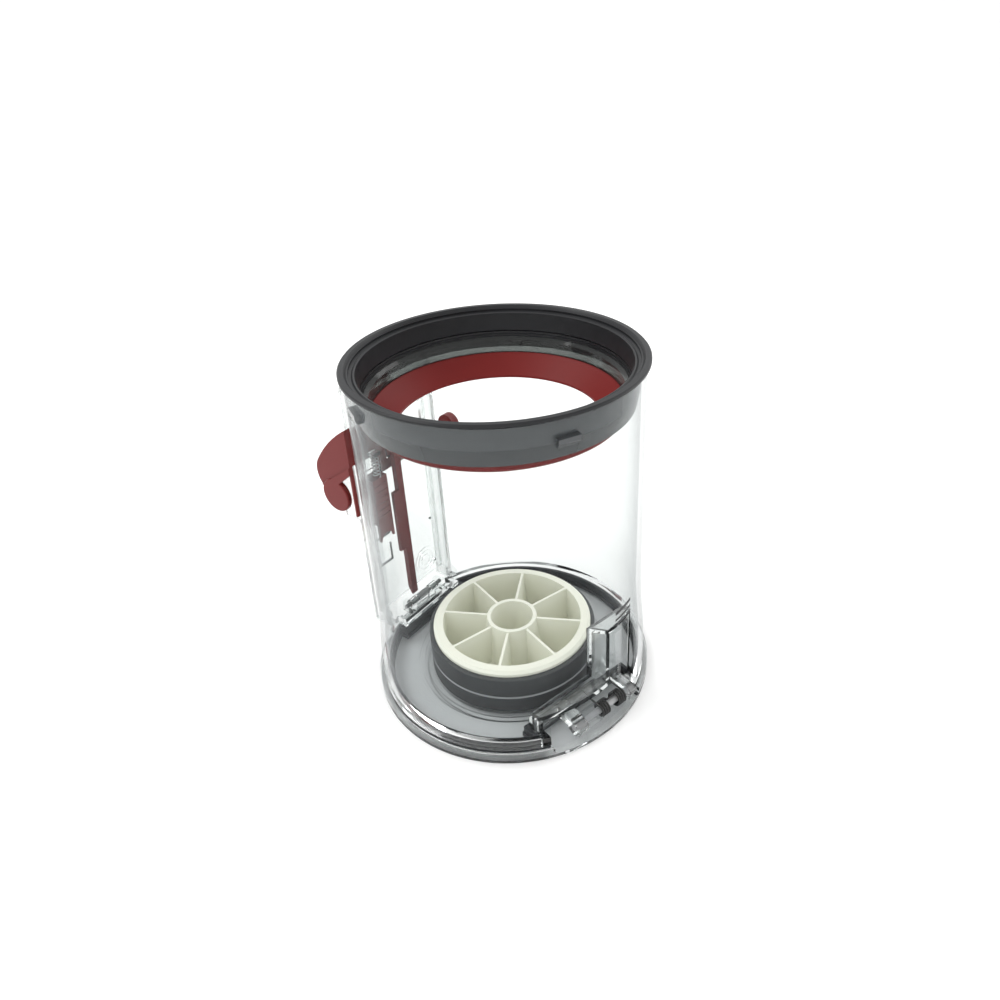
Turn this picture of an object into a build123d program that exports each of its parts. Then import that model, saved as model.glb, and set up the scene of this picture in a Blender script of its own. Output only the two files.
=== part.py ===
"""Clear dust bin of a stick vacuum cleaner, with its hinged base and release slide.

Millimetres, Z up. The origin is on the bin's axis, in the plane that it stands on.
The release rail is on the -X side. The base hinge is near the +X side.
"""
from build123d import *
from math import cos, pi, sin, sqrt
import os

# Clear bin wall
BIN_RADIUS = 58.5        # outer radius of the straight wall
BIN_WALL = 2.2
BIN_TOP = 152.4
FOOT_Z = 4.8             # lower edge of the wall, above the standing plane
FOOT_SWELL = 1.9         # how far the foot stands out from the straight wall
FOOT_RADIUS = BIN_RADIUS + FOOT_SWELL
FOOT_BAND = 5.0          # height of the foot's straight band
FLARE_TOP = 56.0

# Release rail on the bin. OUT and IN are distances from the bin's axis.
RAIL_HALF = 23.0         # half distance between the two rail ribs
RAIL_RIB = 2.2
RAIL_HEIGHT = 7.7        # height of the rail over the straight wall
RAIL_OUT = BIN_RADIUS + RAIL_HEIGHT
RAIL_FLANGE = 1.6
RAIL_FLANGE_REACH = 4.0
RAIL_BOTTOM = 8.5
RAIL_TOP = 133.5
FLOOR_RISE = 0.1         # flat floor of the channel, over the straight wall's radius
FLOOR_OUT = BIN_RADIUS + FLOOR_RISE
COVER_SEAT = 2.0         # height of the groove that holds the cover
FIN_HEIGHT = 8.6         # guide fin beside the lever, over the rail's flange
FIN_OUT = RAIL_OUT + FIN_HEIGHT
FIN_BOTTOM = 67.0
FIN_TOP = 104.0
FIN_THICK = 2.0

# Collar and seals at the mouth
COLLAR_FIT = 0.15
COLLAR_THICK = 2.1
COLLAR_DROP = 2.0        # from the wall's upper edge down to the collar's
COLLAR_HEIGHT = 14.9
COLLAR_TAPER = 1.2
COLLAR_TAPER_HEIGHT = 6.8
COLLAR_TOP = BIN_TOP - COLLAR_DROP
COLLAR_BOTTOM = COLLAR_TOP - COLLAR_HEIGHT
LEDGE_RISE = 2.7         # ledge inside the collar, above the collar's lower edge
LEDGE_Z = COLLAR_BOTTOM + LEDGE_RISE
LEDGE_REACH = 1.5
LEDGE_THICK = 1.0
CLIP_COUNT = 4
CLIP_WIDTH = 9.4
CLIP_HEIGHT = 3.8
CLIP_DROP = 8.0          # from the collar's top to the middle of its clips
CLIP_Z = COLLAR_TOP - CLIP_DROP
CLIP_ANGLE = -27.4       # direction of one clip, from +X towards +Y
CLIP_GAP = 0.2
SEAL_PROUD = 1.5         # how far the rim stands out over the wall, and above it
SEAL_OUT = BIN_RADIUS + SEAL_PROUD
SEAL_TOP = BIN_TOP + SEAL_PROUD
SEAL_LIP = 1.3           # thickness of the rim over the wall
SEAL_GAP = 0.2
CARRIER_WIDTH = 3.65     # from the carrier's outer edge to its opening
CARRIER_THICK = 1.8
CARRIER_SKIRT = 5.0
CARRIER_SKIRT_WALL = 1.3
GASKET_WIDTH = 1.5
GASKET_HEIGHT = 2.2
WIPER_REACH = 9.0        # from the carrier's opening to the wiper's
WIPER_DROP = 8.5         # from the carrier's skirt down to the wiper's edge
WIPER_WALL = 1.0
WIPER_LAND = 1.0         # straight part of the opening's edge
WIPER_FLANGE = 3.0

# Release slide: cover, rod and lever
COVER_THICK = 1.6
COVER_FIT = 0.2
COVER_SIDE_FIT = 0.4
COVER_BOTTOM = 14.0
COVER_TOP = 130.0
FINGER_LOW = 38.0        # sprung finger cut in the cover, below the catch
FINGER_HIGH = 48.0
FINGER_SLIT = 1.2
GATE_HEIGHTS = (46.0, 20.0)
GATE_SIDE = 17.1         # small round holes, beside the rail's middle plane
GATE_RADIUS = 0.8
RING_RADII = (3.2, 5.4, 7.6)
RING_SIDE = 10.6         # raised rings, beside the rail's middle plane
RING_Z = 24.0
ROD_SIDE = 2.6           # the rod's middle, from the rail's middle plane
ROD_WIDTH = 3.6
ROD_THICK = 2.6
ROD_FIT = 0.6
ROD_BOTTOM = 13.5
ROD_TOP = 112.0
ROD_TIP = 4.0
ROD_HEAD = 6.4
ROD_HEAD_HEIGHT = 6.0
ROD_POST = 2.0           # height of the small post inside the rod's spring
ROD_GROOVE_MARGIN = 0.9  # each side of the groove down the rod
WING_REACH = 3.6
WING_THICK = 1.6
WING_LOW = 42.0
WING_HIGH = 75.0
SLIDE_TRAVEL = 9.0
NECK_WIDTH = 4.2
NECK_LOW = 101.0
NECK_HIGH = 109.0
SLOT_SIDE_FIT = 0.5
LEVER_FIT = 0.4          # lever's back to the rail flanges
LEVER_SIDE_FIT = 0.5     # lever's cheek to the rail's side
LEVER_PLATE = 2.6
LEVER_PLATE_HALF = 10.0
LEVER_PLATE_LOW = 90.0
LEVER_PLATE_HIGH = 124.0
EAR_START = 6.0          # where the thumb ear starts, beside the middle
EAR_END = 28.0
EAR_TOP = 115.9          # the ear's pointed tip
EAR_HEIGHT = 32.5
EAR_WRAP = 3.8           # how far the ear's cheek reaches back beside the rail
EAR_DEPTH = 22.6         # from the cheek's back edge to the ear's crest
EAR_STEP = 0.8           # how far bar and pad stand out from the cheek
BAR_HEIGHT = 3.6         # slanted bar under the ear
PAD_RADIUS = 8.2         # round thumb pad at the end of the bar
PAD_REACH = 11.9         # pad's centre, from the cheek's back edge
PAD_DROP = 35.8          # pad's centre, below the ear's tip
PAD_THICK = 2.6
PAD_EDGE = 0.7
STRIP_THICK = 0.9        # thin guide strip below the cheek
STRIP_LOW = 72.0
CHEEK_WIDTH = 1.8        # the guide strip's width
ARM_LOW = 84.0
ARM_HIGH = 91.5
ARM_THICK = 3.6
NUB_END = 35.5
NUB_START = 31.5
NUB_RADIUS = 5.0
NUB_INSET = 7.2          # nub's centre, inwards from the rail's outer face
NUB_Z = 93.6

# Sprung bin catch beside the rod
CATCH_IN = 10.4          # nearer side, from the rail's middle plane
CATCH_WIDTH = 9.0
CATCH_LOW = 54.0
CATCH_HEIGHT = 33.0
CATCH_THICK = 2.2
CATCH_PAD_SUNK = 0.2     # ribbed pad's face, below the rail's outer face
CATCH_PAD_FIT = 0.4
CATCH_FIT = 0.7          # between the catch and the channel's floor
CATCH_TRAVEL = 3.0
CATCH_RIBS = 6
CATCH_RIB_PITCH = 3.2
CATCH_RIB = 0.9

# Springs: wire, mean radius and turns
ROD_SPRING_WIRE = 0.6
ROD_SPRING_RADIUS = 1.5
ROD_SPRING_TURNS = 7
ROD_SPRING_SEAT = 131.0
CATCH_SPRING_WIRE = 0.6
CATCH_SPRING_RADIUS = 1.6
CATCH_SPRING_TURNS = 6
CATCH_SPRING_LENGTH = 11.0
SPRING_GAP = 0.1         # between a spring's end and its seat
SHELF = 2.0              # thickness of the catch spring's shelf

# Pocket in the wall for the base catch
POCKET_DEPTH = 7.9       # from the foot's radius to the pocket's flat face
POCKET_FACE = FOOT_RADIUS - POCKET_DEPTH
POCKET_HALF = 17.5
POCKET_ROOF_IN = 15.5
POCKET_ROOF_OUT = 21.0
HOOK_PIVOT_INSET = 2.0   # the pin's place, inwards from the channel's floor
HOOK_PIVOT_OUT = FLOOR_OUT - HOOK_PIVOT_INSET
HOOK_PIVOT_Z = 12.0
HOOK_PIN_RADIUS = 1.0
HOOK_PIN_FIT = 0.06
HOOK_BARREL = 2.1
HOOK_IN = 4.6
HOOK_OUT = 9.2
HOOK_ARM = 1.6
HOOK_LOW = 2.9
HOOK_NOSE = 1.9
HOOK_NOSE_REACH = 1.5
HOOK_BRIDGE_LOW = 5.6
HOOK_BRIDGE_HIGH = 8.2
HOOK_BRIDGE_THICK = 1.4
EAR_FIT = 0.4
EAR_THICK = 3.0
HOOK_SPRING_WIRE = 0.5
HOOK_SPRING_TURNS = 7
HOOK_SPRING_FIT = 0.3
TOOTH_GAP = 0.4          # above the hook's nose
TOOTH_CLEAR = 0.3        # beside the hook's nose
TOOTH_HEIGHT = 1.6
TOOTH_REACH = 1.0
LUG_THICK = 1.6

# Hinge of the base, built facing +X and then turned
HINGE_TURN = -14.5
HINGE_DEPTH = 14.4       # from the foot's radius to the hinge pocket's flat face
HINGE_FACE = FOOT_RADIUS - HINGE_DEPTH
HINGE_HALF = 24.8
HINGE_ROOF_IN = 13.5
HINGE_ROOF_OUT = 17.0
TALL_START = 8.0
TALL_ROOF_IN = 40.0
TALL_ROOF_OUT = 46.5
PIN_INSET = 4.4          # hinge pin, inwards from the foot's radius
PIN_OUT = FOOT_RADIUS - PIN_INSET
PIN_Z = 6.7
PIN_RADIUS = 1.5
PIN_FIT = 0.06
KNUCKLE_RADII = (3.9, 2.7)
KNUCKLE_GAP = 0.4
KNUCKLE_START = -13.2
BIN_KNUCKLES = (5.2, 3.0)
LID_KNUCKLES = (7.8, 2.2)
COIL_SPACE = 15.4
COIL_LENGTH = 5.8        # of each of the spring's two coils
COIL_WIRE = 1.0
COIL_RADIUS = 2.9
COIL_TURNS = 4
LEG_FIT = 0.3            # between a spring leg and the pocket's face
INSERT_LENGTH = 4.3
INSERT_WIDTH = 1.2
INSERT_HEIGHT = 1.0
INSERT_SHIFT = 0.45      # middle of the insert, outwards from the pin
INSERT_GAP = 0.9         # from the bin's knuckle to the insert

# Base lid
LID_REACH = 2.1          # how far the lid stands out past the foot
LID_RADIUS = FOOT_RADIUS + LID_REACH
LID_FLOOR = 2.4
LID_RIM = 1.4
LID_RIM_TOP = 4.4
GROOVE_DEPTH = 0.6       # ring-shaped groove under the lid
GROOVE_MARGIN = 5.0      # from the groove to the lid's edge, and to the boss
BOSS_RADIUS = 36.1
BOSS_WALL = 2.2
BOSS_HEIGHT = 16.7
BOSS_TOP = LID_FLOOR + BOSS_HEIGHT
HOOK_GAP = 12.0          # half width of the gap in the lid's rim for the hook
STEP_RADII = (39.6, 42.0, 44.6)
STEP_RISE = 0.55
STEP_WIDTH = 1.1
SEAL_BASE_FIT = 0.2      # between the seal's band and the wall above it
SEAL_BASE_TOP = FOOT_Z - SEAL_BASE_FIT
SEAL_BASE_WIDTH = 4.4
SEAL_LIP_RISE = 3.4      # height of the inner lip over the band
SEAL_LIP_TOP = SEAL_BASE_TOP + SEAL_LIP_RISE
SEAL_LIP_THICK = 1.4
SEAL_LIP_FIT = 0.3
SEAL_FLOOR_FIT = 0.05

# Sleeve and vane wheel on the boss
WHEEL_PROUD = 0.1        # how far the wheel's flange stands out over the boss
WHEEL_RADIUS = BOSS_RADIUS + WHEEL_PROUD
WHEEL_FLANGE = 4.4
WHEEL_SEAT_FIT = 0.2     # between the flange and the boss
WHEEL_TOP = BOSS_TOP + WHEEL_SEAT_FIT + WHEEL_FLANGE
WHEEL_SPIGOT_FIT = 0.15
WHEEL_LIFT = 1.2         # from the lid's floor to the wheel's
WHEEL_FLOOR = LID_FLOOR + WHEEL_LIFT
WHEEL_FLOOR_THICK = 1.6
SLEEVE_FIT = 0.1
SLEEVE_WALL = 1.9
SLEEVE_RADIUS = WHEEL_RADIUS + SLEEVE_FIT + SLEEVE_WALL
SLEEVE_LIFT = 0.7        # from the lid's floor to the sleeve
SLEEVE_LOW = LID_FLOOR + SLEEVE_LIFT
SLEEVE_RISE = 2.1        # how far the sleeve reaches above the boss
SLEEVE_TOP = BOSS_TOP + SLEEVE_RISE
SLEEVE_GROOVE_RISE = 8.1
SLEEVE_GROOVE = 0.5
WHEEL_RIM = 4.4
WHEEL_RIM_FOOT = 5.0
HUB_RADIUS = 11.5
HUB_RISE = 0.6           # how far the hub stands above the spokes
HUB_TOP = WHEEL_TOP + HUB_RISE
HUB_BORE = 9.8
HUB_BORE_FOOT = 8.8
HUB_FOOT = 14.0
SPOKES = 8
SPOKE_TURN = -63.0       # direction of one spoke, from +X towards +Y
SPOKE_TOP = 1.1
SPOKE_FOOT = 3.4
WHEEL_EDGE = 1.2

BIG = 400.0
OVER = 2.0               # how far a cutter runs past the face it cuts


def block(x0, x1, y0, y1, z0, z1):
    """A box given by its two corners."""
    box = Box(abs(x1 - x0), abs(y1 - y0), abs(z1 - z0))
    return Pos((x0 + x1) / 2, (y0 + y1) / 2, (z0 + z1) / 2) * box


def rail_block(r0, r1, t0, t1, z0, z1):
    """A box on the rail side: r outwards from the axis, t to the left seen from outside."""
    return block(-r1, -r0, -t1, -t0, z0, z1)


def tube(outer, inner, z0, z1):
    """A plain ring about the Z axis."""
    ring = Cylinder(outer, z1 - z0) - Cylinder(inner, 2 * (z1 - z0))
    return Pos(0, 0, (z0 + z1) / 2) * ring


def turned(points):
    """A solid of revolution about Z from (radius, height) points."""
    outline = make_face(Plane.XZ * Polyline(*points, close=True))
    return revolve(outline, Axis.Z)


def side_prism(points, y0, y1):
    """An extrusion along Y of an outline given in (x, z)."""
    outline = make_face(Plane.XZ * Polyline(*points, close=True))
    return Pos(0, y1, 0) * extrude(outline, y1 - y0, dir=(0, -1, 0))


def rod_along_y(x, z, radius, y0, y1):
    """A round bar along Y."""
    return Pos(x, (y0 + y1) / 2, z) * Rot(90, 0, 0) * Cylinder(radius, y1 - y0)


def turn_hinge(shape):
    """Turn a shape that was built facing +X to the hinge's real direction."""
    return Rot(0, 0, HINGE_TURN) * shape


def coil(radius, wire, length, turns):
    """A coil spring along Z, from z = 0, with its wire ends cut square."""
    pitch = (length - wire) / turns
    path = Pos(0, 0, wire / 2) * Helix(pitch, pitch * turns, radius)
    start = Plane(origin=path @ 0, z_dir=path % 0)
    return sweep(start * Circle(wire / 2), path=path)


def pocket_shape(face, roof_in, roof_out, half_low, half_high, grow):
    """The space of a wall pocket facing +X. grow moves its faces into the bin."""
    out = FOOT_RADIUS + OVER
    low = -OVER
    slope = (roof_out - roof_in) / (BIN_RADIUS - face)
    rise = grow * sqrt(1 + slope * slope)
    roof_at_out = roof_in + slope * (out - face)
    points = [
        (face - grow, low),
        (out, low),
        (out, roof_at_out + rise),
        (face - grow, roof_in + rise - slope * grow),
    ]
    return side_prism(points, half_low - grow, half_high + grow)


def pockets(grow):
    """All pockets of the wall: hinge, tall notch beside it, and base catch."""
    hinge = pocket_shape(HINGE_FACE, HINGE_ROOF_IN, HINGE_ROOF_OUT, -HINGE_HALF, HINGE_HALF, grow)
    tall = pocket_shape(HINGE_FACE, TALL_ROOF_IN, TALL_ROOF_OUT, TALL_START, HINGE_HALF, grow)
    catch = pocket_shape(POCKET_FACE, POCKET_ROOF_IN, POCKET_ROOF_OUT, -POCKET_HALF, POCKET_HALF, grow)
    return [turn_hinge(hinge), turn_hinge(tall), Rot(0, 0, 180) * catch]


def bin_form(inset, z_low, z_high):
    """The bin's round form, moved inwards by inset: its straight wall swells into the foot."""
    foot = FOOT_RADIUS - inset
    wall = BIN_RADIUS - inset
    band = FOOT_Z + FOOT_BAND
    middle = (band + FLARE_TOP) / 2
    lower = Polyline((0, z_high), (0, z_low), (foot, z_low), (foot, band))
    swell = Bezier((foot, band), (foot, middle), (wall, middle), (wall, FLARE_TOP))
    upper = Polyline((wall, FLARE_TOP), (wall, z_high), (0, z_high))
    return revolve(make_face(Plane.XZ * (lower + swell + upper)), Axis.Z)


def rail_ribs():
    """Two rail ribs with flanges that hold the cover, and the lever's guide fin."""
    rib_in = RAIL_HALF - RAIL_RIB / 2
    rib_out = RAIL_HALF + RAIL_RIB / 2
    seat = RAIL_OUT - RAIL_FLANGE - COVER_SEAT
    fin = rail_block(RAIL_OUT - OVER, FIN_OUT, rib_out - FIN_THICK, rib_out, FIN_BOTTOM, FIN_TOP)
    ribs = [fin]
    for side in (-1, 1):
        rib = rail_block(BIN_RADIUS / 2, RAIL_OUT, side * rib_in, side * rib_out, RAIL_BOTTOM, RAIL_TOP)
        flange_in = rib_out - RAIL_FLANGE_REACH
        flange = rail_block(RAIL_OUT - RAIL_FLANGE, RAIL_OUT, side * flange_in, side * rib_out,
                            RAIL_BOTTOM, RAIL_TOP)
        ledge = rail_block(BIN_RADIUS / 2, seat, side * flange_in, side * rib_out, RAIL_BOTTOM, RAIL_TOP)
        ribs += [rib, flange, ledge]
    return ribs


def clip_places():
    """The directions of the collar's clips round the mouth."""
    return [CLIP_ANGLE + 360 / CLIP_COUNT * i for i in range(CLIP_COUNT)]


def make_bin_body():
    """Clear wall with its pockets, rail, hinge knuckles and pivot ears, as one moulding."""
    body = bin_form(0, FOOT_Z, BIN_TOP)
    for rib in rail_ribs():
        body += rib
    floor_half = RAIL_HALF - RAIL_RIB / 2
    body -= rail_block(FLOOR_OUT, FOOT_RADIUS + OVER, -floor_half, floor_half, -OVER, RAIL_TOP)
    for pocket in pockets(0):
        body -= pocket
    cavity = bin_form(BIN_WALL, -OVER, BIN_TOP + OVER)
    cavity -= rail_block(FLOOR_OUT - BIN_WALL, BIG, -RAIL_HALF, RAIL_HALF, -OVER, FLARE_TOP + OVER)
    for pocket in pockets(BIN_WALL):
        cavity -= pocket
    body -= cavity
    seat = RAIL_OUT - RAIL_FLANGE
    ledge_half = RAIL_HALF + RAIL_RIB / 2 - RAIL_FLANGE_REACH
    stop = COVER_BOTTOM - COVER_FIT
    body += rail_block(FLOOR_OUT - 1, seat, ledge_half, floor_half + 1, RAIL_BOTTOM, stop)
    body += rail_block(FLOOR_OUT - 1, seat, -floor_half - 1, -ledge_half, RAIL_BOTTOM, stop)
    for angle in clip_places():
        window = block(BIN_RADIUS - 2 * BIN_WALL, BIN_RADIUS + OVER, -CLIP_WIDTH / 2, CLIP_WIDTH / 2,
                       CLIP_Z - CLIP_HEIGHT / 2, CLIP_Z + CLIP_HEIGHT / 2)
        body -= Rot(0, 0, angle) * window
    return body + bin_hinge() + hook_ears() + spring_shelves()


def bin_hinge():
    """The two knuckles that belong to the bin, with the arms that carry them."""
    parts = None
    for start, length, radius in zip(bin_knuckle_starts(), BIN_KNUCKLES, KNUCKLE_RADII):
        end = start + length
        arm_low = max(FOOT_Z + 0.6, PIN_Z - radius)
        arm = block(HINGE_FACE - BIN_WALL / 2, PIN_OUT, start, end, arm_low, PIN_Z + radius)
        knuckle = arm + rod_along_y(PIN_OUT, PIN_Z, radius, start, end)
        knuckle -= rod_along_y(PIN_OUT, PIN_Z, PIN_RADIUS, start - OVER, end + OVER)
        parts = knuckle if parts is None else parts + knuckle
    return turn_hinge(parts)


def bin_knuckle_starts():
    """Where each of the bin's knuckles starts along the pin."""
    second = lid_knuckle_spans()[1][1] + KNUCKLE_GAP
    return [KNUCKLE_START, second]


def lid_knuckle_spans():
    """Where the lid's two knuckles lie along the pin, with the coil between them."""
    first = KNUCKLE_START + BIN_KNUCKLES[0] + KNUCKLE_GAP
    first_end = first + LID_KNUCKLES[0]
    second = first_end + COIL_SPACE
    return [(first, first_end), (second, second + LID_KNUCKLES[1])]


def hook_ears():
    """Two ears in the catch pocket that hold the hook's pin."""
    inner = HOOK_OUT + EAR_FIT
    low = HOOK_PIVOT_Z - HOOK_BARREL - 0.6
    high = HOOK_PIVOT_Z + HOOK_BARREL + 0.6
    parts = None
    for side in (-1, 1):
        ear = rail_block(POCKET_FACE - 1, HOOK_PIVOT_OUT + HOOK_BARREL,
                         side * inner, side * (inner + EAR_THICK), low, high)
        ear = ear - rod_along_y(-HOOK_PIVOT_OUT, HOOK_PIVOT_Z, HOOK_PIN_RADIUS, -BIG, BIG)
        parts = ear if parts is None else parts + ear
    return parts


def spring_line():
    """How far the rod's spring stands from the axis: the middle of the rod's thickness."""
    return FLOOR_OUT + ROD_FIT + ROD_THICK / 2


def catch_line():
    """How far the catch's spring stands from the axis: midway between floor and cover."""
    return (FLOOR_OUT + RAIL_OUT - RAIL_FLANGE - COVER_SEAT) / 2


def spring_shelves():
    """Two small shelves on the channel's floor that hold the springs' upper ends."""
    half = ROD_SPRING_RADIUS + ROD_SPRING_WIRE
    side = ROD_SIDE
    middle = CATCH_IN + CATCH_WIDTH / 2
    reach = CATCH_SPRING_RADIUS + CATCH_SPRING_WIRE
    seat = CATCH_LOW + CATCH_HEIGHT + CATCH_SPRING_LENGTH + 2 * SPRING_GAP
    shelf = rail_block(FLOOR_OUT - 1, spring_line() + half - 1, side - half, side + half,
                       ROD_SPRING_SEAT, RAIL_TOP)
    wall = sqrt(BIN_RADIUS ** 2 - (middle + reach) ** 2)
    low = wall - BIN_WALL / 2
    return shelf + rail_block(low, catch_line() + reach - 0.6, middle - reach, middle + reach,
                              seat, seat + SHELF)


def make_collar_ring():
    """Grey ring inside the mouth, with a tapered foot, an inner ledge and snap clips."""
    outer = BIN_RADIUS - BIN_WALL - COLLAR_FIT
    inner = outer - COLLAR_THICK
    points = [
        (inner, COLLAR_BOTTOM),
        (outer - COLLAR_TAPER, COLLAR_BOTTOM),
        (outer, COLLAR_BOTTOM + COLLAR_TAPER_HEIGHT),
        (outer, COLLAR_TOP),
        (inner, COLLAR_TOP),
        (inner, LEDGE_Z + LEDGE_THICK),
        (inner - LEDGE_REACH, LEDGE_Z + LEDGE_THICK),
        (inner - LEDGE_REACH, LEDGE_Z),
        (inner, LEDGE_Z - LEDGE_REACH / 2),
    ]
    ring = turned(points)
    for angle in clip_places():
        half = CLIP_WIDTH / 2 - CLIP_GAP
        low = CLIP_Z - CLIP_HEIGHT / 2 + CLIP_GAP
        high = CLIP_Z + CLIP_HEIGHT / 2 - CLIP_GAP
        face = BIN_RADIUS - CLIP_GAP
        points = [(inner + 1, low), (face - 0.8, low), (face, low + 1.6), (face, high), (inner + 1, high)]
        nub = side_prism(points, -half, half)
        ring += Rot(0, 0, angle) * nub
    return ring


def collar_inner():
    """Inner radius of the grey ring."""
    return BIN_RADIUS - BIN_WALL - COLLAR_FIT - COLLAR_THICK


def make_top_seal():
    """Rubber rim over the wall's edge, with a groove and a lip that hangs inside."""
    inner = collar_inner() - SEAL_GAP
    plug = BIN_RADIUS - BIN_WALL - SEAL_GAP
    rim_low = SEAL_TOP - SEAL_LIP
    web = COLLAR_TOP + SEAL_GAP
    hang = carrier_top() + GASKET_HEIGHT + SEAL_GAP
    points = [
        (SEAL_OUT, rim_low),
        (SEAL_OUT, SEAL_TOP - 0.5),
        (SEAL_OUT - 0.5, SEAL_TOP),
        (plug + 1.5, SEAL_TOP),
        (plug + 1.1, SEAL_TOP - 0.5),
        (plug - 0.1, web + 0.9),
        (inner + 1.1, web + 0.6),
        (inner + 0.5, web + 1.1),
        (inner - 0.2, web + 0.8),
        (inner - 1.0, hang + 0.4),
        (inner - 0.7, hang),
        (inner, hang),
        (inner, web),
        (plug, web),
        (plug, rim_low),
    ]
    return turned(points)


def carrier_top():
    """Height of the carrier's upper face."""
    return LEDGE_Z + LEDGE_THICK + CARRIER_THICK


def carrier_hole():
    """Radius of the carrier's opening."""
    return collar_inner() - SEAL_GAP - CARRIER_WIDTH


def make_carrier():
    """Smoky ring on the collar's ledge, with a skirt that holds the wiper."""
    outer = collar_inner() - SEAL_GAP
    low = LEDGE_Z + LEDGE_THICK
    hole = carrier_hole()
    skirt = hole + CARRIER_SKIRT_WALL
    points = [
        (hole, low - CARRIER_SKIRT),
        (skirt, low - CARRIER_SKIRT),
        (skirt, low),
        (outer, low),
        (outer, carrier_top() - 0.6),
        (outer - 1.2, carrier_top()),
        (skirt + 0.4, carrier_top()),
        (hole, low + 0.7),
    ]
    return turned(points)


def make_gasket():
    """Thin rubber ring between the carrier and the top seal's lip."""
    outer = collar_inner() - SEAL_GAP
    low = carrier_top()
    high = low + GASKET_HEIGHT
    points = [
        (outer - GASKET_WIDTH, low),
        (outer, low),
        (outer, high),
        (outer - GASKET_WIDTH + 0.5, high),
        (outer - GASKET_WIDTH + 0.5, low + 1.0),
        (outer - GASKET_WIDTH, low + 1.0),
    ]
    return turned(points)


def make_wiper_ring():
    """Red cone under the carrier, narrowing to the opening that wipes the shroud."""
    top = LEDGE_Z + LEDGE_THICK - CARRIER_SKIRT
    lip = carrier_hole() + CARRIER_SKIRT_WALL
    hole = carrier_hole() - WIPER_REACH
    low = top - WIPER_DROP
    points = [
        (hole, low),
        (hole + 0.4 * WIPER_WALL, low),
        (hole + WIPER_WALL, low + 0.3),
        (lip - 0.6, top - WIPER_FLANGE),
        (lip, top - WIPER_FLANGE + 0.8),
        (lip, top),
        (carrier_hole() - 0.4, top),
        (hole, low + WIPER_LAND),
    ]
    return turned(points)


def make_rail_cover():
    """Clear plate in the rail's grooves, with windows for the lever, rod and catch."""
    face_in = RAIL_OUT - RAIL_FLANGE - COVER_SEAT + COVER_FIT
    face_out = face_in + COVER_THICK
    half = RAIL_HALF - RAIL_RIB / 2 - COVER_SIDE_FIT
    cover = rail_block(face_in, face_out, -half, half, COVER_BOTTOM, COVER_TOP)
    neck_half = NECK_WIDTH / 2 + SLOT_SIDE_FIT
    cut_in = face_in - OVER
    cut_out = face_out + OVER
    slot_low = NECK_LOW - SLIDE_TRAVEL - SLOT_SIDE_FIT
    cover -= rail_block(cut_in, cut_out, ROD_SIDE - neck_half, ROD_SIDE + neck_half,
                        slot_low, COVER_TOP + OVER)
    pad0 = CATCH_IN - CATCH_PAD_FIT
    pad1 = CATCH_IN + CATCH_WIDTH + CATCH_PAD_FIT
    pad_top = CATCH_LOW + CATCH_HEIGHT + CATCH_TRAVEL + 1
    cover -= rail_block(cut_in, cut_out, pad0, pad1, CATCH_LOW - 1, pad_top)
    middle = CATCH_IN + CATCH_WIDTH / 2
    finger_half = CATCH_WIDTH / 2
    slit_half = finger_half - FINGER_SLIT
    finger = rail_block(cut_in, cut_out, middle - finger_half, middle + finger_half, FINGER_LOW, FINGER_HIGH)
    finger -= rail_block(cut_in - 1, cut_out + 1, middle - slit_half, middle + slit_half,
                         FINGER_LOW + FINGER_SLIT, FINGER_HIGH + OVER)
    cover -= finger
    for z in GATE_HEIGHTS:
        cover -= Pos(-face_in, GATE_SIDE, z) * Rot(0, 90, 0) * Cylinder(GATE_RADIUS, 4 * COVER_THICK)
    for radius in RING_RADII:
        ring = Cylinder(radius, 0.5) - Cylinder(radius - 0.5, 1.0)
        cover += Pos(-face_in + 0.05, RING_SIDE, RING_Z) * Rot(0, 90, 0) * ring
    return cover


def make_push_rod():
    """Long flat rod with a pointed tip, a side wing and a head that the lever holds."""
    face_in = FLOOR_OUT + ROD_FIT
    face_out = face_in + ROD_THICK
    half = ROD_WIDTH / 2
    tip = [
        (-face_in, ROD_BOTTOM),
        (-face_in - 0.7, ROD_BOTTOM),
        (-face_out, ROD_BOTTOM + ROD_TIP),
        (-face_out, ROD_TOP),
        (-face_in, ROD_TOP),
    ]
    rod = side_prism(tip, -half, half)
    rod += rail_block(face_in, face_in + WING_THICK, half - 0.5, half + WING_REACH, WING_LOW, WING_HIGH)
    rod += rail_block(face_in, face_out, -ROD_HEAD / 2, ROD_HEAD / 2, ROD_TOP - ROD_HEAD_HEIGHT, ROD_TOP)
    middle = (face_in + face_out) / 2
    web = half - ROD_GROOVE_MARGIN
    groove = rail_block(face_out - 0.6, face_out + 1, -web, web, ROD_BOTTOM + 3 * ROD_TIP, NECK_LOW - ROD_TIP)
    post = Pos(-middle, 0, ROD_TOP) * Cylinder(ROD_SPRING_RADIUS - ROD_SPRING_WIRE, 2 * ROD_POST)
    return Pos(0, -ROD_SIDE, 0) * (rod - groove + post)


def ear_points():
    """Corners of the thumb ear in (x, z): pointed tip, bulging front, toe and heel."""
    back = EAR_WRAP - RAIL_OUT
    return {
        "tip": (back, EAR_TOP),
        "slope": (back - 0.50 * EAR_DEPTH, EAR_TOP - 0.27 * EAR_HEIGHT),
        "shoulder": (back - 0.92 * EAR_DEPTH, EAR_TOP - 0.61 * EAR_HEIGHT),
        "crest": (back - EAR_DEPTH, EAR_TOP - 0.81 * EAR_HEIGHT),
        "toe": (back - 0.90 * EAR_DEPTH, EAR_TOP - EAR_HEIGHT),
        "heel": (back, EAR_TOP - 0.56 * EAR_HEIGHT),
    }


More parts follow.
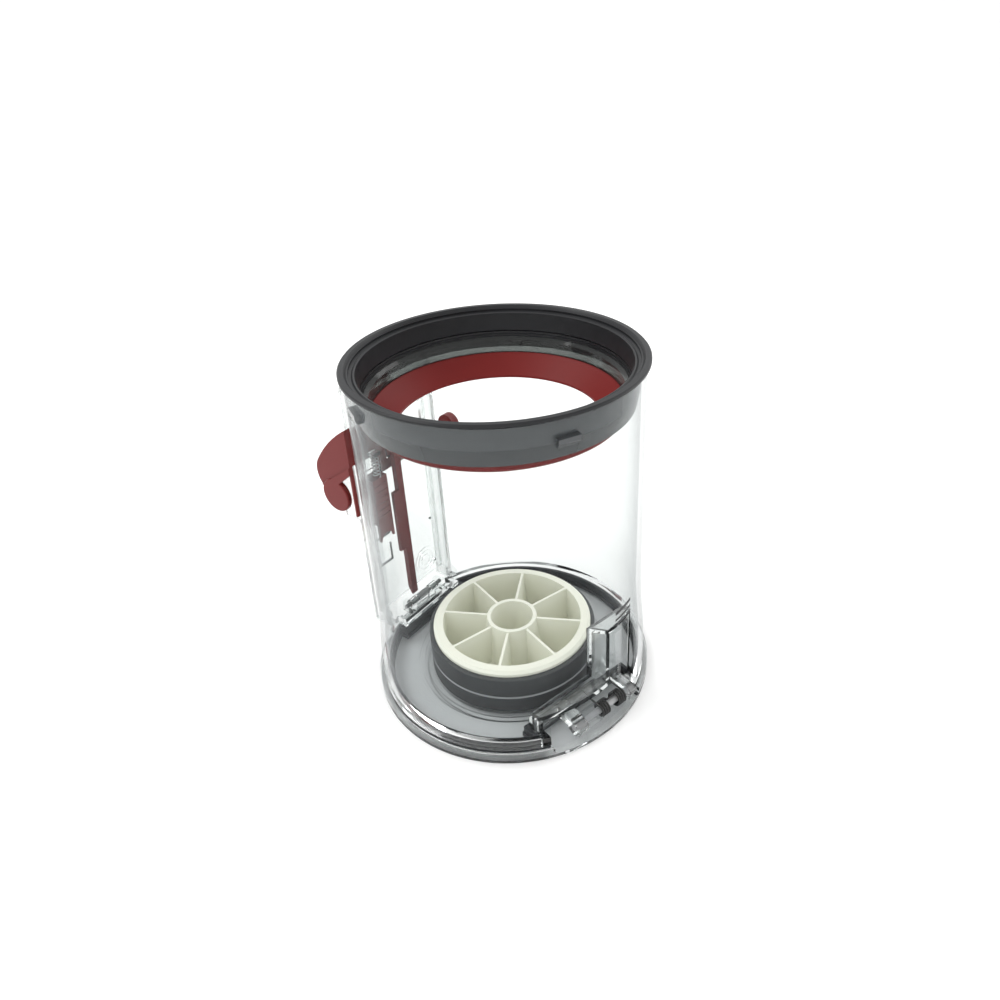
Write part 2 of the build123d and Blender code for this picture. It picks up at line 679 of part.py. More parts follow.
def make_lever_cheek():
    """The ear's slanted bar, round thumb pad and thin guide strip, beside the rail."""
    at = ear_points()
    back, heel_z = at["heel"]
    pad_x = back - PAD_REACH
    pad_z = EAR_TOP - PAD_DROP
    proud = EAR_END + EAR_STEP
    bar = side_prism([at["heel"], at["toe"], (pad_x, pad_z + PAD_RADIUS / 2), (back, heel_z - BAR_HEIGHT)],
                     -proud, -proud + PAD_THICK)
    pad = rod_along_y(pad_x, pad_z, PAD_RADIUS, -proud, -proud + PAD_THICK)
    pad = fillet(pad.edges(), PAD_EDGE)
    strip = block(back - STRIP_THICK, back, -EAR_END, -EAR_END + CHEEK_WIDTH, STRIP_LOW, heel_z)
    return bar + pad + strip


def make_release_lever():
    """Red lever outside the rail: thumb ear, slanted bar with a round pad, cross arm and nub."""
    back = RAIL_OUT + LEVER_FIT
    rail_side = RAIL_HALF + RAIL_RIB / 2 + LEVER_SIDE_FIT
    at = ear_points()
    upper = ThreePointArc(at["tip"], at["slope"], at["shoulder"])
    lower = ThreePointArc(at["shoulder"], at["crest"], at["toe"])
    foot = Polyline(at["toe"], at["heel"], at["tip"])
    outline = make_face(Plane.XZ * (upper + lower + foot))
    lever = Pos(0, -EAR_START, 0) * extrude(outline, EAR_END - EAR_START, dir=(0, -1, 0))
    lever -= rail_block(0, back, EAR_START - 1, rail_side, 0, BIG)
    lever += make_lever_cheek()
    lever += rail_block(back, back + LEVER_PLATE, -LEVER_PLATE_HALF, LEVER_PLATE_HALF,
                        LEVER_PLATE_LOW, LEVER_PLATE_HIGH)
    lever += rail_block(back, back + ARM_THICK, -NUB_END, EAR_START + 1, ARM_LOW, ARM_HIGH)
    nub_out = RAIL_OUT - NUB_INSET
    lever += rod_along_y(-nub_out, NUB_Z, NUB_RADIUS, NUB_START, NUB_END)
    lever += rail_block(nub_out, back + ARM_THICK, -NUB_END, -NUB_START, NUB_Z - NUB_RADIUS, ARM_HIGH)
    neck_in = FLOOR_OUT + ROD_FIT + ROD_THICK
    half = NECK_WIDTH / 2
    lever += rail_block(neck_in, back + 1, ROD_SIDE - half, ROD_SIDE + half, NECK_LOW, NECK_HIGH)
    fin_in = RAIL_HALF + RAIL_RIB / 2 - FIN_THICK - LEVER_FIT
    return lever - rail_block(back, FIN_OUT + LEVER_FIT, fin_in, rail_side, 0, BIG)


def make_bin_catch():
    """Ribbed red slide beside the rod, with a flange behind the cover."""
    face_in = FLOOR_OUT + CATCH_FIT
    pad_out = RAIL_OUT - CATCH_PAD_SUNK
    flange_out = RAIL_OUT - RAIL_FLANGE - COVER_SEAT
    low = CATCH_LOW
    high = low + CATCH_HEIGHT
    t0 = CATCH_IN
    t1 = t0 + CATCH_WIDTH
    catch = rail_block(face_in, pad_out, t0, t1, low, high)
    catch -= rail_block(flange_out - CATCH_THICK, pad_out + OVER, t0 - 1, t1 + 1, low - 1, low + 9)
    middle = (t0 + t1) / 2
    arch = Pos(-face_in, -middle, low) * Rot(0, 90, 0) * Cylinder(3.6, 30)
    catch -= arch
    for i in range(CATCH_RIBS):
        z = high - 3 - i * CATCH_RIB_PITCH
        catch -= rail_block(pad_out - CATCH_RIB, pad_out + 1, t0 - 1, t1 + 1, z - CATCH_RIB, z)
        catch -= rail_block(face_in - 1, face_in + CATCH_RIB / 2, t0 + 1, t1 - 1, z - CATCH_RIB, z)
    return catch


def make_bin_catch_spring():
    """Coil that presses the ribbed slide down."""
    middle = CATCH_IN + CATCH_WIDTH / 2
    spring = coil(CATCH_SPRING_RADIUS, CATCH_SPRING_WIRE, CATCH_SPRING_LENGTH, CATCH_SPRING_TURNS)
    return Pos(-catch_line(), -middle, CATCH_LOW + CATCH_HEIGHT + SPRING_GAP) * spring


def make_rod_spring():
    """Coil between the rod's head and the shelf at the rail's top."""
    length = ROD_SPRING_SEAT - ROD_TOP - 2 * SPRING_GAP
    spring = coil(ROD_SPRING_RADIUS, ROD_SPRING_WIRE, length, ROD_SPRING_TURNS)
    return Pos(-spring_line(), -ROD_SIDE, ROD_TOP + SPRING_GAP) * spring


def make_base_hook():
    """Clear hook with two arms on a barrel, joined by the bridge that the rod pushes."""
    arm_in = HOOK_PIVOT_OUT + HOOK_BARREL - HOOK_ARM
    arm_out = HOOK_PIVOT_OUT + HOOK_BARREL
    hook = None
    for side in (-1, 1):
        near = side * HOOK_IN
        far = side * HOOK_OUT
        low_y = min(-near, -far)
        high_y = max(-near, -far)
        barrel = rod_along_y(-HOOK_PIVOT_OUT, HOOK_PIVOT_Z, HOOK_BARREL, low_y, high_y)
        arm = rail_block(arm_in, arm_out, near, far, HOOK_LOW, HOOK_PIVOT_Z)
        nose = rail_block(arm_in - HOOK_NOSE_REACH, arm_in, near, far, HOOK_LOW, HOOK_LOW + HOOK_NOSE)
        link = rail_block(arm_in, bridge_line() + HOOK_BRIDGE_THICK, near, side * (HOOK_IN + 1.5),
                          HOOK_BRIDGE_LOW, HOOK_BRIDGE_HIGH)
        half = barrel + arm + nose + link
        hook = half if hook is None else hook + half
    hook += rail_block(bridge_line(), bridge_line() + HOOK_BRIDGE_THICK, -HOOK_IN - 1, HOOK_IN + 1,
                       HOOK_BRIDGE_LOW, HOOK_BRIDGE_HIGH)
    bore = rod_along_y(-HOOK_PIVOT_OUT, HOOK_PIVOT_Z, HOOK_PIN_RADIUS + HOOK_PIN_FIT, -BIG, BIG)
    return hook - bore


def bridge_line():
    """Inner face of the hook's bridge, just outside the rod's bevelled tip."""
    return FLOOR_OUT + ROD_FIT + ROD_THICK - 0.6


def make_base_hook_pin():
    """Steel pin through the hook and both ears."""
    end = HOOK_OUT + EAR_FIT + EAR_THICK
    return rod_along_y(-HOOK_PIVOT_OUT, HOOK_PIVOT_Z, HOOK_PIN_RADIUS, -end, end)


def make_base_hook_spring():
    """Torsion coil on the hook's pin, between the two barrels."""
    inner = HOOK_PIN_RADIUS + HOOK_SPRING_FIT
    length = 2 * HOOK_IN - 2 * HOOK_SPRING_FIT
    spring = coil(inner + HOOK_SPRING_WIRE / 2, HOOK_SPRING_WIRE, length, HOOK_SPRING_TURNS)
    turned_coil = Rot(90, 0, 0) * Pos(0, 0, -length / 2) * spring
    return Pos(-HOOK_PIVOT_OUT, 0, HOOK_PIVOT_Z) * turned_coil


def foot_face(inset):
    """The outline of the bin's foot, moved inwards by inset, as a flat face."""
    face = Circle(FOOT_RADIUS - inset)
    reach = 30.0
    hinge_at = HINGE_FACE - inset
    hinge = Pos(hinge_at + reach / 2, 0) * Rectangle(reach, 2 * (HINGE_HALF + inset))
    catch_at = POCKET_FACE - inset
    catch = Pos(-catch_at - reach / 2, 0) * Rectangle(reach, 2 * (POCKET_HALF + inset))
    return face - Rot(0, 0, HINGE_TURN) * hinge - catch


def foot_ring(outer_inset, inner_inset, z0, z1):
    """A ring that follows the foot's outline."""
    ring = foot_face(outer_inset) - foot_face(inner_inset)
    return Pos(0, 0, z0) * extrude(ring, z1 - z0)


def make_base_seal():
    """Rubber seal of the lid: a flat band under the wall and a lip inside it."""
    low = LID_FLOOR + SEAL_FLOOR_FIT
    band = foot_ring(0.2, SEAL_BASE_WIDTH, low, SEAL_BASE_TOP)
    lip_out = BIN_WALL + SEAL_LIP_FIT
    lip = foot_ring(lip_out, lip_out + SEAL_LIP_THICK, SEAL_BASE_TOP - 0.2, SEAL_LIP_TOP)
    return band + lip


def make_base_lid():
    """Clear lid: floor, rim, boss, moulded steps, hinge knuckles and the hook's tooth."""
    lid = Pos(0, 0, LID_FLOOR / 2) * Cylinder(LID_RADIUS, LID_FLOOR)
    lid += tube(LID_RADIUS, LID_RADIUS - LID_RIM, 0, LID_RIM_TOP)
    lid -= tube(LID_RADIUS - GROOVE_MARGIN, BOSS_RADIUS + GROOVE_MARGIN, 0, GROOVE_DEPTH)
    lid += tube(BOSS_RADIUS, BOSS_RADIUS - BOSS_WALL, LID_FLOOR - 0.5, BOSS_TOP)
    steps = None
    for step in STEP_RADII:
        rise = tube(step, step - STEP_WIDTH, LID_FLOOR - 0.5, LID_FLOOR + STEP_RISE)
        steps = rise if steps is None else steps + rise
    steps -= foot_ring(0, SEAL_BASE_WIDTH + SEAL_LIP_FIT, LID_FLOOR, LID_FLOOR + OVER)
    reach = LID_RADIUS + OVER
    hinge_gap = block(HINGE_FACE, reach, -HINGE_HALF, HINGE_HALF, LID_FLOOR, LID_RIM_TOP + OVER)
    lid -= turn_hinge(hinge_gap)
    lid -= rail_block(POCKET_FACE, reach, -HOOK_GAP, HOOK_GAP, LID_FLOOR, LID_RIM_TOP + OVER)
    return lid + steps + lid_hinge() + lid_tooth()


def lid_hinge():
    """The lid's two knuckles: a six-sided one and a narrow round one."""
    (first, first_end), (second, second_end) = lid_knuckle_spans()
    flat, round_radius = [radius - 0.1 for radius in KNUCKLE_RADII]
    hexagon = Plane.XZ * Pos(PIN_OUT, PIN_Z) * RegularPolygon(flat, 6, major_radius=False)
    big = Pos(0, first_end, 0) * extrude(hexagon, first_end - first, dir=(0, -1, 0))
    small = rod_along_y(PIN_OUT, PIN_Z, round_radius, second, second_end)
    web = 4.6
    for low, high in ((first, first_end), (second, second_end)):
        big += block(PIN_OUT - web / 2, PIN_OUT + web / 2, low, high, LID_FLOOR - 0.5, PIN_Z - PIN_RADIUS)
    knuckles = big + small
    knuckles -= rod_along_y(PIN_OUT, PIN_Z, PIN_RADIUS + PIN_FIT, -BIG, BIG)
    return turn_hinge(knuckles)


def lid_tooth():
    """Upright lug on the lid with the tooth that the hook's noses hold."""
    arm_in = HOOK_PIVOT_OUT + HOOK_BARREL - HOOK_ARM
    tooth_out = arm_in - HOOK_NOSE_REACH - TOOTH_CLEAR
    lug_out = tooth_out - TOOTH_REACH
    lug_in = lug_out - LUG_THICK
    low = LID_FLOOR - 0.5
    tooth_low = HOOK_LOW + HOOK_NOSE + TOOTH_GAP
    high = tooth_low + TOOTH_HEIGHT
    points = [
        (-lug_in, low),
        (-lug_out, low),
        (-lug_out, tooth_low),
        (-tooth_out, tooth_low),
        (-lug_out, high),
        (-lug_in, high),
    ]
    return side_prism(points, -HOOK_OUT, HOOK_OUT)


def make_boss_sleeve():
    """Dark rubber sleeve round the boss and the wheel, with one groove."""
    inner = WHEEL_RADIUS + SLEEVE_FIT
    groove = SLEEVE_GROOVE
    groove_z = SLEEVE_LOW + SLEEVE_GROOVE_RISE
    points = [
        (inner, SLEEVE_LOW),
        (SLEEVE_RADIUS - 0.3, SLEEVE_LOW),
        (SLEEVE_RADIUS, SLEEVE_LOW + 0.3),
        (SLEEVE_RADIUS, groove_z - groove),
        (SLEEVE_RADIUS - groove, groove_z),
        (SLEEVE_RADIUS, groove_z + groove),
        (SLEEVE_RADIUS, SLEEVE_TOP - 0.5),
        (SLEEVE_RADIUS - 0.5, SLEEVE_TOP),
        (inner, SLEEVE_TOP),
    ]
    return turned(points)


def vane_pocket(z_low, z_high):
    """One tapered pocket between two spokes, centred on +X."""
    wheel_foot = WHEEL_FLOOR + WHEEL_FLOOR_THICK

    def sector(z):
        share = (z - wheel_foot) / (WHEEL_TOP - wheel_foot)
        outer = WHEEL_RADIUS - WHEEL_RIM_FOOT + share * (WHEEL_RIM_FOOT - WHEEL_RIM)
        inner = HUB_FOOT + share * (HUB_RADIUS - HUB_FOOT)
        spoke = SPOKE_FOOT + share * (SPOKE_TOP - SPOKE_FOOT)
        half = pi / SPOKES

        def corner(radius):
            y = sqrt(radius ** 2 - (spoke / 2) ** 2) * sin(half) - spoke / 2 * cos(half)
            return (sqrt(radius ** 2 - y ** 2), y)
        x_out, y_out = corner(outer)
        x_in, y_in = corner(inner)
        rim = ThreePointArc((x_out, -y_out), (outer, 0), (x_out, y_out))
        hub = ThreePointArc((x_in, y_in), (inner, 0), (x_in, -y_in))
        side_a = Line((x_out, y_out), (x_in, y_in))
        side_b = Line((x_in, -y_in), (x_out, -y_out))
        return Pos(0, 0, z) * make_face(rim + side_a + hub + side_b)
    return loft([sector(z_low), sector(z_high)])


def make_vane_wheel():
    """Cream wheel with eight spokes: open pockets, a flanged rim and a hollow hub."""
    spigot = BOSS_RADIUS - BOSS_WALL - WHEEL_SPIGOT_FIT
    flange_low = WHEEL_TOP - WHEEL_FLANGE
    points = [
        (0, WHEEL_FLOOR),
        (spigot, WHEEL_FLOOR),
        (spigot, flange_low),
        (WHEEL_RADIUS, flange_low),
        (WHEEL_RADIUS, WHEEL_TOP - WHEEL_EDGE),
        (WHEEL_RADIUS - WHEEL_EDGE, WHEEL_TOP),
        (HUB_RADIUS, WHEEL_TOP),
        (HUB_RADIUS, HUB_TOP),
        (0, HUB_TOP),
    ]
    wheel = turned(points)
    foot = WHEEL_FLOOR + WHEEL_FLOOR_THICK
    pocket = vane_pocket(foot, WHEEL_TOP + 1)
    for i in range(SPOKES):
        wheel -= Rot(0, 0, SPOKE_TURN + 180 / SPOKES + 360 / SPOKES * i) * pocket
    bore = turned([(0, foot), (HUB_BORE_FOOT, foot), (HUB_BORE, HUB_TOP + 1), (0, HUB_TOP + 1)])
    return wheel - bore


def make_hinge_pin():
    """Steel pin of the base hinge."""
    end = bin_knuckle_starts()[1] + BIN_KNUCKLES[1]
    return turn_hinge(rod_along_y(PIN_OUT, PIN_Z, PIN_RADIUS, KNUCKLE_START, end))


def make_hinge_spring():
    """Dark double torsion spring: two coils on the pin, joined by a straight wire, with a leg each."""
    low = lid_knuckle_spans()[0][1] + KNUCKLE_GAP
    high = lid_knuckle_spans()[1][0] - KNUCKLE_GAP
    middle = (low + high) / 2
    bridge = high - middle - COIL_LENGTH
    near = COIL_WIRE / 2
    leg_length = PIN_OUT - HINGE_FACE - LEG_FIT
    thin = near - 0.05
    half = coil(COIL_RADIUS, COIL_WIRE, COIL_LENGTH, COIL_TURNS)
    leg = Pos(COIL_RADIUS, leg_length / 2, COIL_LENGTH - near) * Rot(90, 0, 0) * Cylinder(thin, leg_length)
    joint = Pos(COIL_RADIUS, 0, (near - bridge) / 2) * Cylinder(thin, near + bridge)
    on_pin = Plane(origin=(PIN_OUT, middle - bridge, PIN_Z), x_dir=(0, 0, 1), z_dir=(0, -1, 0))
    first = on_pin * (half + leg + joint)
    second = mirror(first, about=Plane(origin=(0, middle, 0), z_dir=(0, 1, 0)))
    return turn_hinge(first + second)


def make_lid_insert():
    """Small black insert on the lid's floor, beside the bin's second knuckle."""
    along = bin_knuckle_starts()[1] + BIN_KNUCKLES[1] + INSERT_GAP
    out = PIN_OUT + INSERT_SHIFT
    insert = block(out - INSERT_LENGTH / 2, out + INSERT_LENGTH / 2,
                   along, along + INSERT_WIDTH, LID_FLOOR, LID_FLOOR + INSERT_HEIGHT)
    return turn_hinge(insert)


NODES = {
    "bin_body": make_bin_body,
    "collar_ring": make_collar_ring,
    "top_seal": make_top_seal,
    "wiper_carrier": make_carrier,
    "carrier_gasket": make_gasket,
    "wiper_ring": make_wiper_ring,
    "rail_cover": make_rail_cover,
    "push_rod": make_push_rod,
    "release_lever": make_release_lever,
    "rod_spring": make_rod_spring,
    "bin_catch": make_bin_catch,
    "bin_catch_spring": make_bin_catch_spring,
    "base_hook": make_base_hook,
    "base_hook_pin": make_base_hook_pin,
    "base_hook_spring": make_base_hook_spring,
    "base_lid": make_base_lid,
    "base_seal": make_base_seal,
    "boss_sleeve": make_boss_sleeve,
    "vane_wheel": make_vane_wheel,
    "hinge_pin": make_hinge_pin,
    "hinge_spring": make_hinge_spring,
    "lid_insert": make_lid_insert,
}

os.makedirs("parts", exist_ok=True)
for name, make in NODES.items():
    export_step(make(), f"parts/{name}.step")
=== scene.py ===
"""Looks of a clear cyclone dust bin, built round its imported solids. Metres, Z up."""
import math

import bmesh
import bpy
from mathutils import Matrix, Vector


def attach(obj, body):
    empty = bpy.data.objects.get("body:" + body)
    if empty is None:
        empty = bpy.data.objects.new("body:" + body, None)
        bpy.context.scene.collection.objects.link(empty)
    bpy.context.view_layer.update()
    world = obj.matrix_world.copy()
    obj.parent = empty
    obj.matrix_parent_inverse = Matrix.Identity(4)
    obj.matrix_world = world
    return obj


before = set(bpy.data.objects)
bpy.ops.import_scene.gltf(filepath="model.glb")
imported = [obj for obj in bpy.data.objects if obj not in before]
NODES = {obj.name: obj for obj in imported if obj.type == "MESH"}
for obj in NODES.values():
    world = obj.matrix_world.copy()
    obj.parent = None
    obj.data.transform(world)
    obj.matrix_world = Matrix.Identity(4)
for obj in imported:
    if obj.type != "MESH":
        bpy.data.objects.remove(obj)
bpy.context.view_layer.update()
MM = 0.001

# Camera, as the photograph was taken
EYE = Vector((0.18027, -0.22261, 0.26996))
LOOK_TURN = math.radians(126.319)
LOOK_DOWN = math.radians(28.503)
CAMERA_ROLL = math.radians(-2.434)
LENS = 28.73
SHIFT_X = -0.0335
SHIFT_Y = -0.058


# Tint that light takes at each face of the clear plastic
WALL_TINT = (0.972, 0.980, 0.978)
LID_TINT = (0.932, 0.940, 0.944)


class Value:
    """A socket of a material, with arithmetic that adds Math nodes."""

    def __init__(self, finish, socket):
        self.finish = finish
        self.socket = socket

    def _math(self, operation, *values):
        node = self.finish.node("ShaderNodeMath", {"operation": operation}, *values)
        return Value(self.finish, node.outputs[0])

    def __add__(self, other):
        return self._math("ADD", self, other)

    def __radd__(self, other):
        return self._math("ADD", other, self)

    def __sub__(self, other):
        return self._math("SUBTRACT", self, other)

    def __rsub__(self, other):
        return self._math("SUBTRACT", other, self)

    def __mul__(self, other):
        return self._math("MULTIPLY", self, other)

    def __rmul__(self, other):
        return self._math("MULTIPLY", other, self)

    def __truediv__(self, other):
        return self._math("DIVIDE", self, other)

    def __pow__(self, other):
        return self._math("POWER", self, other)

    def above(self, limit):
        return self._math("GREATER_THAN", self, limit)

    def below(self, limit):
        return self._math("LESS_THAN", self, limit)

    def clamp(self):
        return self._math("MINIMUM", self._math("MAXIMUM", self, 0.0), 1.0)

    def band(self, low, high, soft):
        """1 between low and high, falling to 0 over the soft distance outside them."""
        rise = ((self - low) / soft + 1.0).clamp()
        fall = ((high - self) / soft + 1.0).clamp()
        return rise * fall


class Finish:
    """A material, whose nodes are all made by one method."""

    def __init__(self, name):
        self.material = bpy.data.materials.new(name)
        self.material.use_nodes = True
        self.tree = self.material.node_tree
        self.tree.nodes.clear()

    def node(self, kind, settings=None, *values, **named):
        node = self.tree.nodes.new(kind)
        for key, setting in (settings or {}).items():
            setattr(node, key, setting)
        pairs = list(enumerate(values)) + list(named.items())
        for key, value in pairs:
            socket = node.inputs[key] if isinstance(key, int) else node.inputs[key.replace("_", " ")]
            if isinstance(value, Value):
                self.tree.links.new(value.socket, socket)
            elif value is not None:
                socket.default_value = value
        return node

    def value(self, kind, settings=None, *values, out=0, **named):
        return Value(self, self.node(kind, settings, *values, **named).outputs[out])

    def place(self):
        """Object coordinates in metres, as a vector."""
        return self.value("ShaderNodeTexCoord", out="Object")

    def axes(self):
        """The x, y and z of a point of the piece, in metres."""
        parts = self.node("ShaderNodeSeparateXYZ", None, self.place())
        return [Value(self, parts.outputs[i]) for i in range(3)]

    def noise(self, scale, detail=2.0, roughness=0.5):
        return self.value("ShaderNodeTexNoise", None, out="Fac", Vector=self.place(), Scale=scale,
                          Detail=detail, Roughness=roughness)

    def blend(self, share, first, second):
        """The colour that lies between two colours by a share from 0 to 1."""
        settings = {"data_type": "RGBA"}
        node = self.node("ShaderNodeMix", settings)
        for index, value in ((0, share), (6, first), (7, second)):
            if isinstance(value, Value):
                self.tree.links.new(value.socket, node.inputs[index])
            else:
                node.inputs[index].default_value = value if index == 0 else (*value, 1.0)
        return Value(self, node.outputs[2])

    def bump(self, height, strength, distance):
        return self.value("ShaderNodeBump", None, Strength=strength, Distance=distance, Height=height)

    def output(self, shader):
        self.node("ShaderNodeOutputMaterial", None, shader)
        return self.material


def grained(name, dark, light, roughness, grain=900.0, coat=0.0, bump=0.15, specular=0.5, painted_band=None):
    """Moulded plastic or rubber: a faint mottle in its colour, gloss and surface.

    The last argument paints a band of light or shade by height in another colour: its lowest and highest z, in
    metres, and the colour.
    """
    finish = Finish(name)
    mottle = finish.noise(35.0, 3.0)
    fine = finish.noise(grain, 3.0, 0.6)
    colour = finish.blend(mottle, dark, light)
    if painted_band:
        low, high, painted_colour = painted_band
        # Painted light or shade: between the two heights the mottled colour gives way to the given colour.
        colour = finish.blend(finish.axes()[2].band(low, high, 0.0003), colour, painted_colour)
    gloss = roughness + (mottle - 0.5) * 0.12 + (fine - 0.5) * 0.08
    normal = finish.bump(fine, bump, 0.00006)
    shader = finish.value("ShaderNodeBsdfPrincipled", None, Base_Color=colour, Roughness=gloss, Normal=normal,
                          Coat_Weight=coat, Coat_Roughness=0.12)
    shader.socket.node.inputs["Specular IOR Level"].default_value = specular
    return finish.output(shader)


def see_through(finish, tint, edge, body, rim, power):
    """Polished plastic that lets light straight through, and thickens towards grazing edges."""
    facing = finish.value("ShaderNodeLayerWeight", None, out="Facing", Blend=0.5)
    scuffs = finish.noise(60.0, 5.0, 0.65)
    share = (body + (facing ** power) * rim + (scuffs - 0.5) * 0.015).clamp()
    through = finish.value("ShaderNodeBsdfTransparent", None, Color=(*tint, 1.0))
    shell = finish.value("ShaderNodeBsdfPrincipled", None, Base_Color=(*edge, 1.0), Roughness=0.05 + scuffs * 0.05)
    shell.socket.node.inputs["Specular IOR Level"].default_value = 0.8
    return finish.value("ShaderNodeMixShader", None, share, through, shell)


def solid_glass(finish, tint, roughness=0.02, ior=1.49):
    """Thick clear plastic that bends light."""
    scuffs = finish.noise(60.0, 5.0, 0.65)
    gloss = roughness + scuffs * 0.02
    shader = finish.value("ShaderNodeBsdfPrincipled", None, Base_Color=(*tint, 1.0), Roughness=gloss)
    node = shader.socket.node
    node.inputs["Transmission Weight"].default_value = 1.0
    node.inputs["IOR"].default_value = ior
    return shader


def clear(name, tint, edge, body=0.03, rim=0.8, power=4.0):
    finish = Finish(name)
    return finish.output(see_through(finish, tint, edge, body, rim, power))


def glassy(name, tint):
    finish = Finish(name)
    return finish.output(solid_glass(finish, tint))


def clear_body(name):
    """The bin's moulding: thin plastic round the wall, thick plastic at the rail, foot and hinge pocket."""
    finish = Finish(name)
    x, y, z = finish.axes()
    thin = see_through(finish, WALL_TINT, (0.30, 0.32, 0.33), 0.025, 0.75, 5.0)
    thick = solid_glass(finish, (0.97, 0.985, 0.98))
    rail = x.below(-0.0587) * 0.7
    foot = z.below(0.0095)
    inside = ((x * x + y * y) ** 0.5).below(0.0558)
    pocket = inside * x.above(0.030) * z.below(0.050)
    return finish.output(finish.value("ShaderNodeMixShader", None, (rail + pocket + foot).clamp(), thin, thick))


def clear_lid(name):
    """The lid's moulding: a thin-looking floor with a thick outer rim."""
    finish = Finish(name)
    x, y, z = finish.axes()
    thin = see_through(finish, LID_TINT, (0.55, 0.57, 0.58), 0.04, 0.60, 6.0)
    thick = solid_glass(finish, (0.90, 0.92, 0.92))
    rim = ((x * x + y * y) ** 0.5).above(0.0600)
    return finish.output(finish.value("ShaderNodeMixShader", None, rim, thin, thick))


def paint(node, material):
    """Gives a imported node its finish."""
    mesh = NODES[node].data
    mesh.materials.clear()
    mesh.materials.append(material)


FINISHES = {
    "wall": clear_body("clear_wall"),
    "lid": clear_lid("clear_lid"),
    "clear": glassy("clear_plastic", (0.97, 0.985, 0.98)),
    "charcoal": grained("charcoal_rubber", (0.012, 0.0125, 0.014), (0.019, 0.020, 0.022), 0.40, specular=0.25),
    # The sleeve's light band at z 10.8 to 11.6 mm is a painted highlight along its groove edge.
    "sleeve": grained("sleeve_rubber", (0.036, 0.038, 0.040), (0.046, 0.048, 0.051), 0.42,
                      painted_band=(0.0108, 0.0116, (0.30, 0.31, 0.32))),
    "seal": grained("seal_rubber", (0.018, 0.020, 0.022), (0.028, 0.030, 0.034), 0.40, specular=0.3),
    # The grey collar's darker band at z 134 to 142 mm is painted shade on its lower shoulder and step.
    "grey": grained("grey_plastic", (0.048, 0.051, 0.055), (0.060, 0.064, 0.069), 0.24, coat=0.3, bump=0.03,
                    painted_band=(0.1340, 0.1420, (0.026, 0.028, 0.031))),
    "red": grained("red_plastic", (0.142, 0.0155, 0.0150), (0.172, 0.0210, 0.0200), 0.34, specular=0.18),
    "wiper": grained("red_rubber", (0.142, 0.0095, 0.0085), (0.178, 0.0135, 0.0120), 0.45, specular=0.15),
    "cream": grained("cream_plastic", (0.79, 0.79, 0.68), (0.84, 0.845, 0.745), 0.45),
    "steel": grained("spring_steel", (0.35, 0.35, 0.36), (0.5, 0.5, 0.5), 0.3),
    "black": grained("black_steel", (0.01, 0.01, 0.01), (0.02, 0.02, 0.02), 0.4),
    "smoky": clear("smoky_plastic", (0.42, 0.44, 0.43), (0.060, 0.064, 0.063), 0.30, 0.6, 3.0),
}
NODE_FINISH = {
    "bin_body": "wall", "rail_cover": "clear", "base_hook": "clear", "base_lid": "lid",
    "collar_ring": "grey", "top_seal": "charcoal", "carrier_gasket": "charcoal", "boss_sleeve": "sleeve",
    "lid_insert": "charcoal", "wiper_carrier": "smoky", "wiper_ring": "wiper", "push_rod": "red",
    "release_lever": "red", "bin_catch": "red", "rod_spring": "steel", "bin_catch_spring": "steel",
    "base_hook_pin": "steel", "base_hook_spring": "steel", "hinge_pin": "steel", "hinge_spring": "black",
    "base_seal": "seal", "vane_wheel": "cream",
}
for node, finish in NODE_FINISH.items():
    paint(node, FINISHES[finish])

# Fill mark printed on the wall: height of each bar's middle, and its thickness, in mm
FILL_BARS = ((56.0, 1.6), (52.7, 1.1), (50.1, 0.6))
FILL_START = math.radians(-6.0)
FILL_SWEEP = math.radians(11.5)
WALL_RADIUS = 58.5


def make_bar(name, middle, thick, material):
    """A thin printed bar bent round the wall."""
    mesh = bmesh.new()
    inner = (WALL_RADIUS + 0.01) * MM
    outer = (WALL_RADIUS + 0.09) * MM
    low = (middle - thick / 2) * MM
    high = (middle + thick / 2) * MM
    start = Matrix.Rotation(FILL_START, 3, "Z")
    profile = ((inner, low), (outer, low), (outer, high), (inner, high))
    corners = [mesh.verts.new(start @ Vector((r, 0, z))) for r, z in profile]
    face = mesh.faces.new(corners)
    bmesh.ops.spin(mesh, geom=[face, *face.edges, *face.verts], cent=(0, 0, 0), axis=(0, 0, 1), angle=FILL_SWEEP,
                   steps=12, use_merge=False, use_duplicate=False)
    bmesh.ops.recalc_face_normals(mesh, faces=mesh.faces)
    data = bpy.data.meshes.new(name)
    mesh.to_mesh(data)
    mesh.free()
    data.materials.append(material)
    piece = bpy.data.objects.new(name, data)
    bpy.context.scene.collection.objects.link(piece)
    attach(piece, "bin")


def make_fill_mark():
    ink = grained("print_ink", (0.012, 0.012, 0.013), (0.020, 0.020, 0.022), 0.5)
    for index, (middle, thick) in enumerate(FILL_BARS):
        make_bar("fill_bar_%d" % (index + 1), middle, thick, ink)


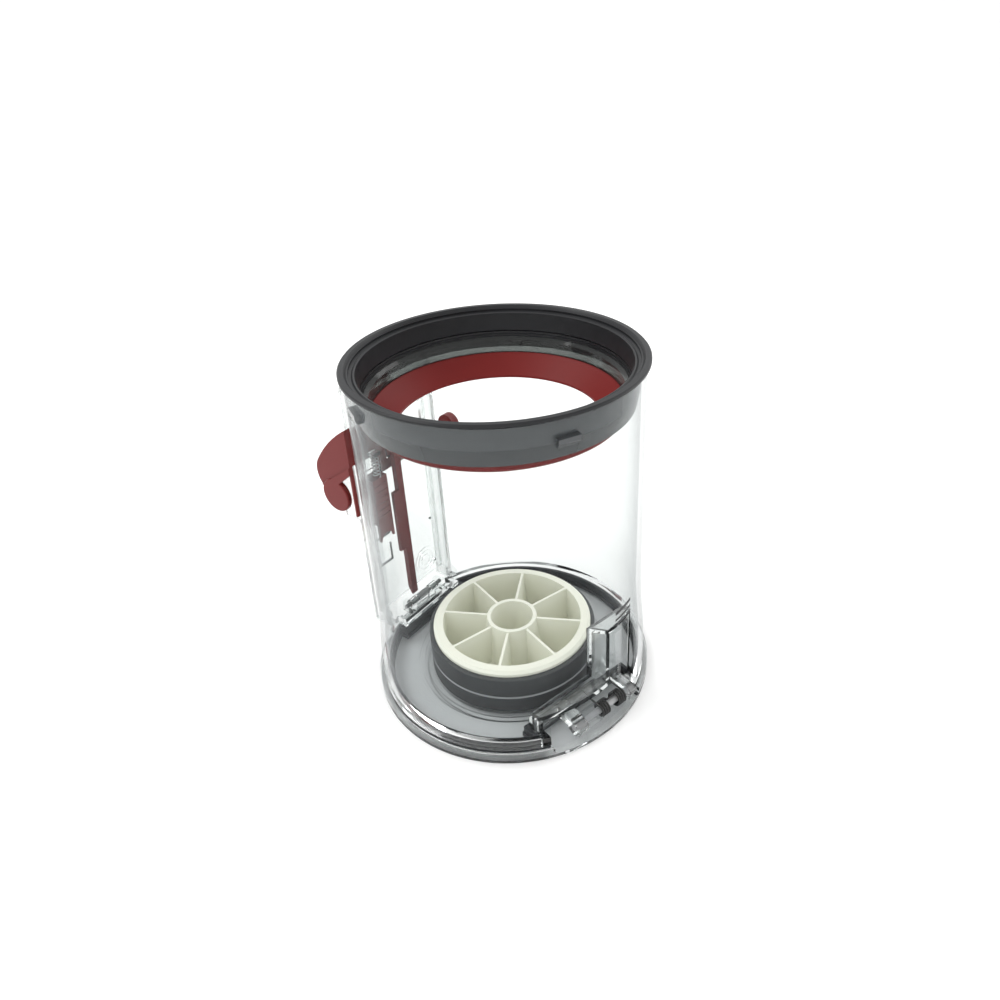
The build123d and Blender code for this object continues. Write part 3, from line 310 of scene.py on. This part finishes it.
def make_camera():
    camera = bpy.data.cameras.new("camera")
    camera.lens = LENS
    camera.sensor_width = 36.0
    camera.shift_x = SHIFT_X
    camera.shift_y = SHIFT_Y
    camera.clip_start = 0.01
    forward = Vector((math.cos(LOOK_TURN) * math.cos(LOOK_DOWN), math.sin(LOOK_TURN) * math.cos(LOOK_DOWN),
                      -math.sin(LOOK_DOWN)))
    right = forward.cross(Vector((0, 0, 1))).normalized()
    upward = right.cross(forward)
    roll_right = right * math.cos(CAMERA_ROLL) + upward * math.sin(CAMERA_ROLL)
    roll_up = upward * math.cos(CAMERA_ROLL) - right * math.sin(CAMERA_ROLL)
    turn = Matrix((roll_right, roll_up, -forward)).transposed().to_4x4()
    holder = bpy.data.objects.new("camera", camera)
    holder.matrix_world = Matrix.Translation(EYE) @ turn
    bpy.context.scene.collection.objects.link(holder)
    bpy.context.scene.camera = holder


FLOOR_Z = -0.25 * MM      # just under the standing plane, so no two faces lie in one plane


def make_floor():
    mesh = bmesh.new()
    bmesh.ops.create_grid(mesh, x_segments=1, y_segments=1, size=40.0,
                          matrix=Matrix.Translation((0, 0, FLOOR_Z)))
    data = bpy.data.meshes.new("floor")
    mesh.to_mesh(data)
    mesh.free()
    floor = bpy.data.objects.new("floor", data)
    bpy.context.scene.collection.objects.link(floor)
    finish = Finish("floor_white")
    white = finish.value("ShaderNodeBsdfPrincipled", None, Base_Color=(0.97, 0.97, 0.965, 1.0), Roughness=0.8)
    data.materials.append(finish.output(white))


def make_area(name, place, target, size, power):
    light = bpy.data.lights.new(name, "AREA")
    light.shape = "RECTANGLE"
    light.size, light.size_y = size
    light.energy = power
    holder = bpy.data.objects.new(name, light)
    direction = Vector(target) - Vector(place)
    holder.matrix_world = Matrix.Translation(place) @ direction.to_track_quat("-Z", "Y").to_matrix().to_4x4()
    bpy.context.scene.collection.objects.link(holder)


def make_light():
    scene = bpy.context.scene
    world = bpy.data.worlds.new("studio")
    world.use_nodes = True
    world.node_tree.nodes["Background"].inputs[0].default_value = (1.0, 1.0, 1.0, 1.0)
    world.node_tree.nodes["Background"].inputs[1].default_value = 1.06
    scene.world = world
    scene.view_settings.view_transform = "Standard"
    make_area("key", (-0.55, -0.35, 0.95), (0, 0, 0.08), (0.7, 0.5), 5.0)
    make_area("back", (0.2, 0.9, 0.8), (0, 0, 0.08), (0.8, 0.5), 3.0)


make_fill_mark()
make_camera()
make_floor()
make_light()
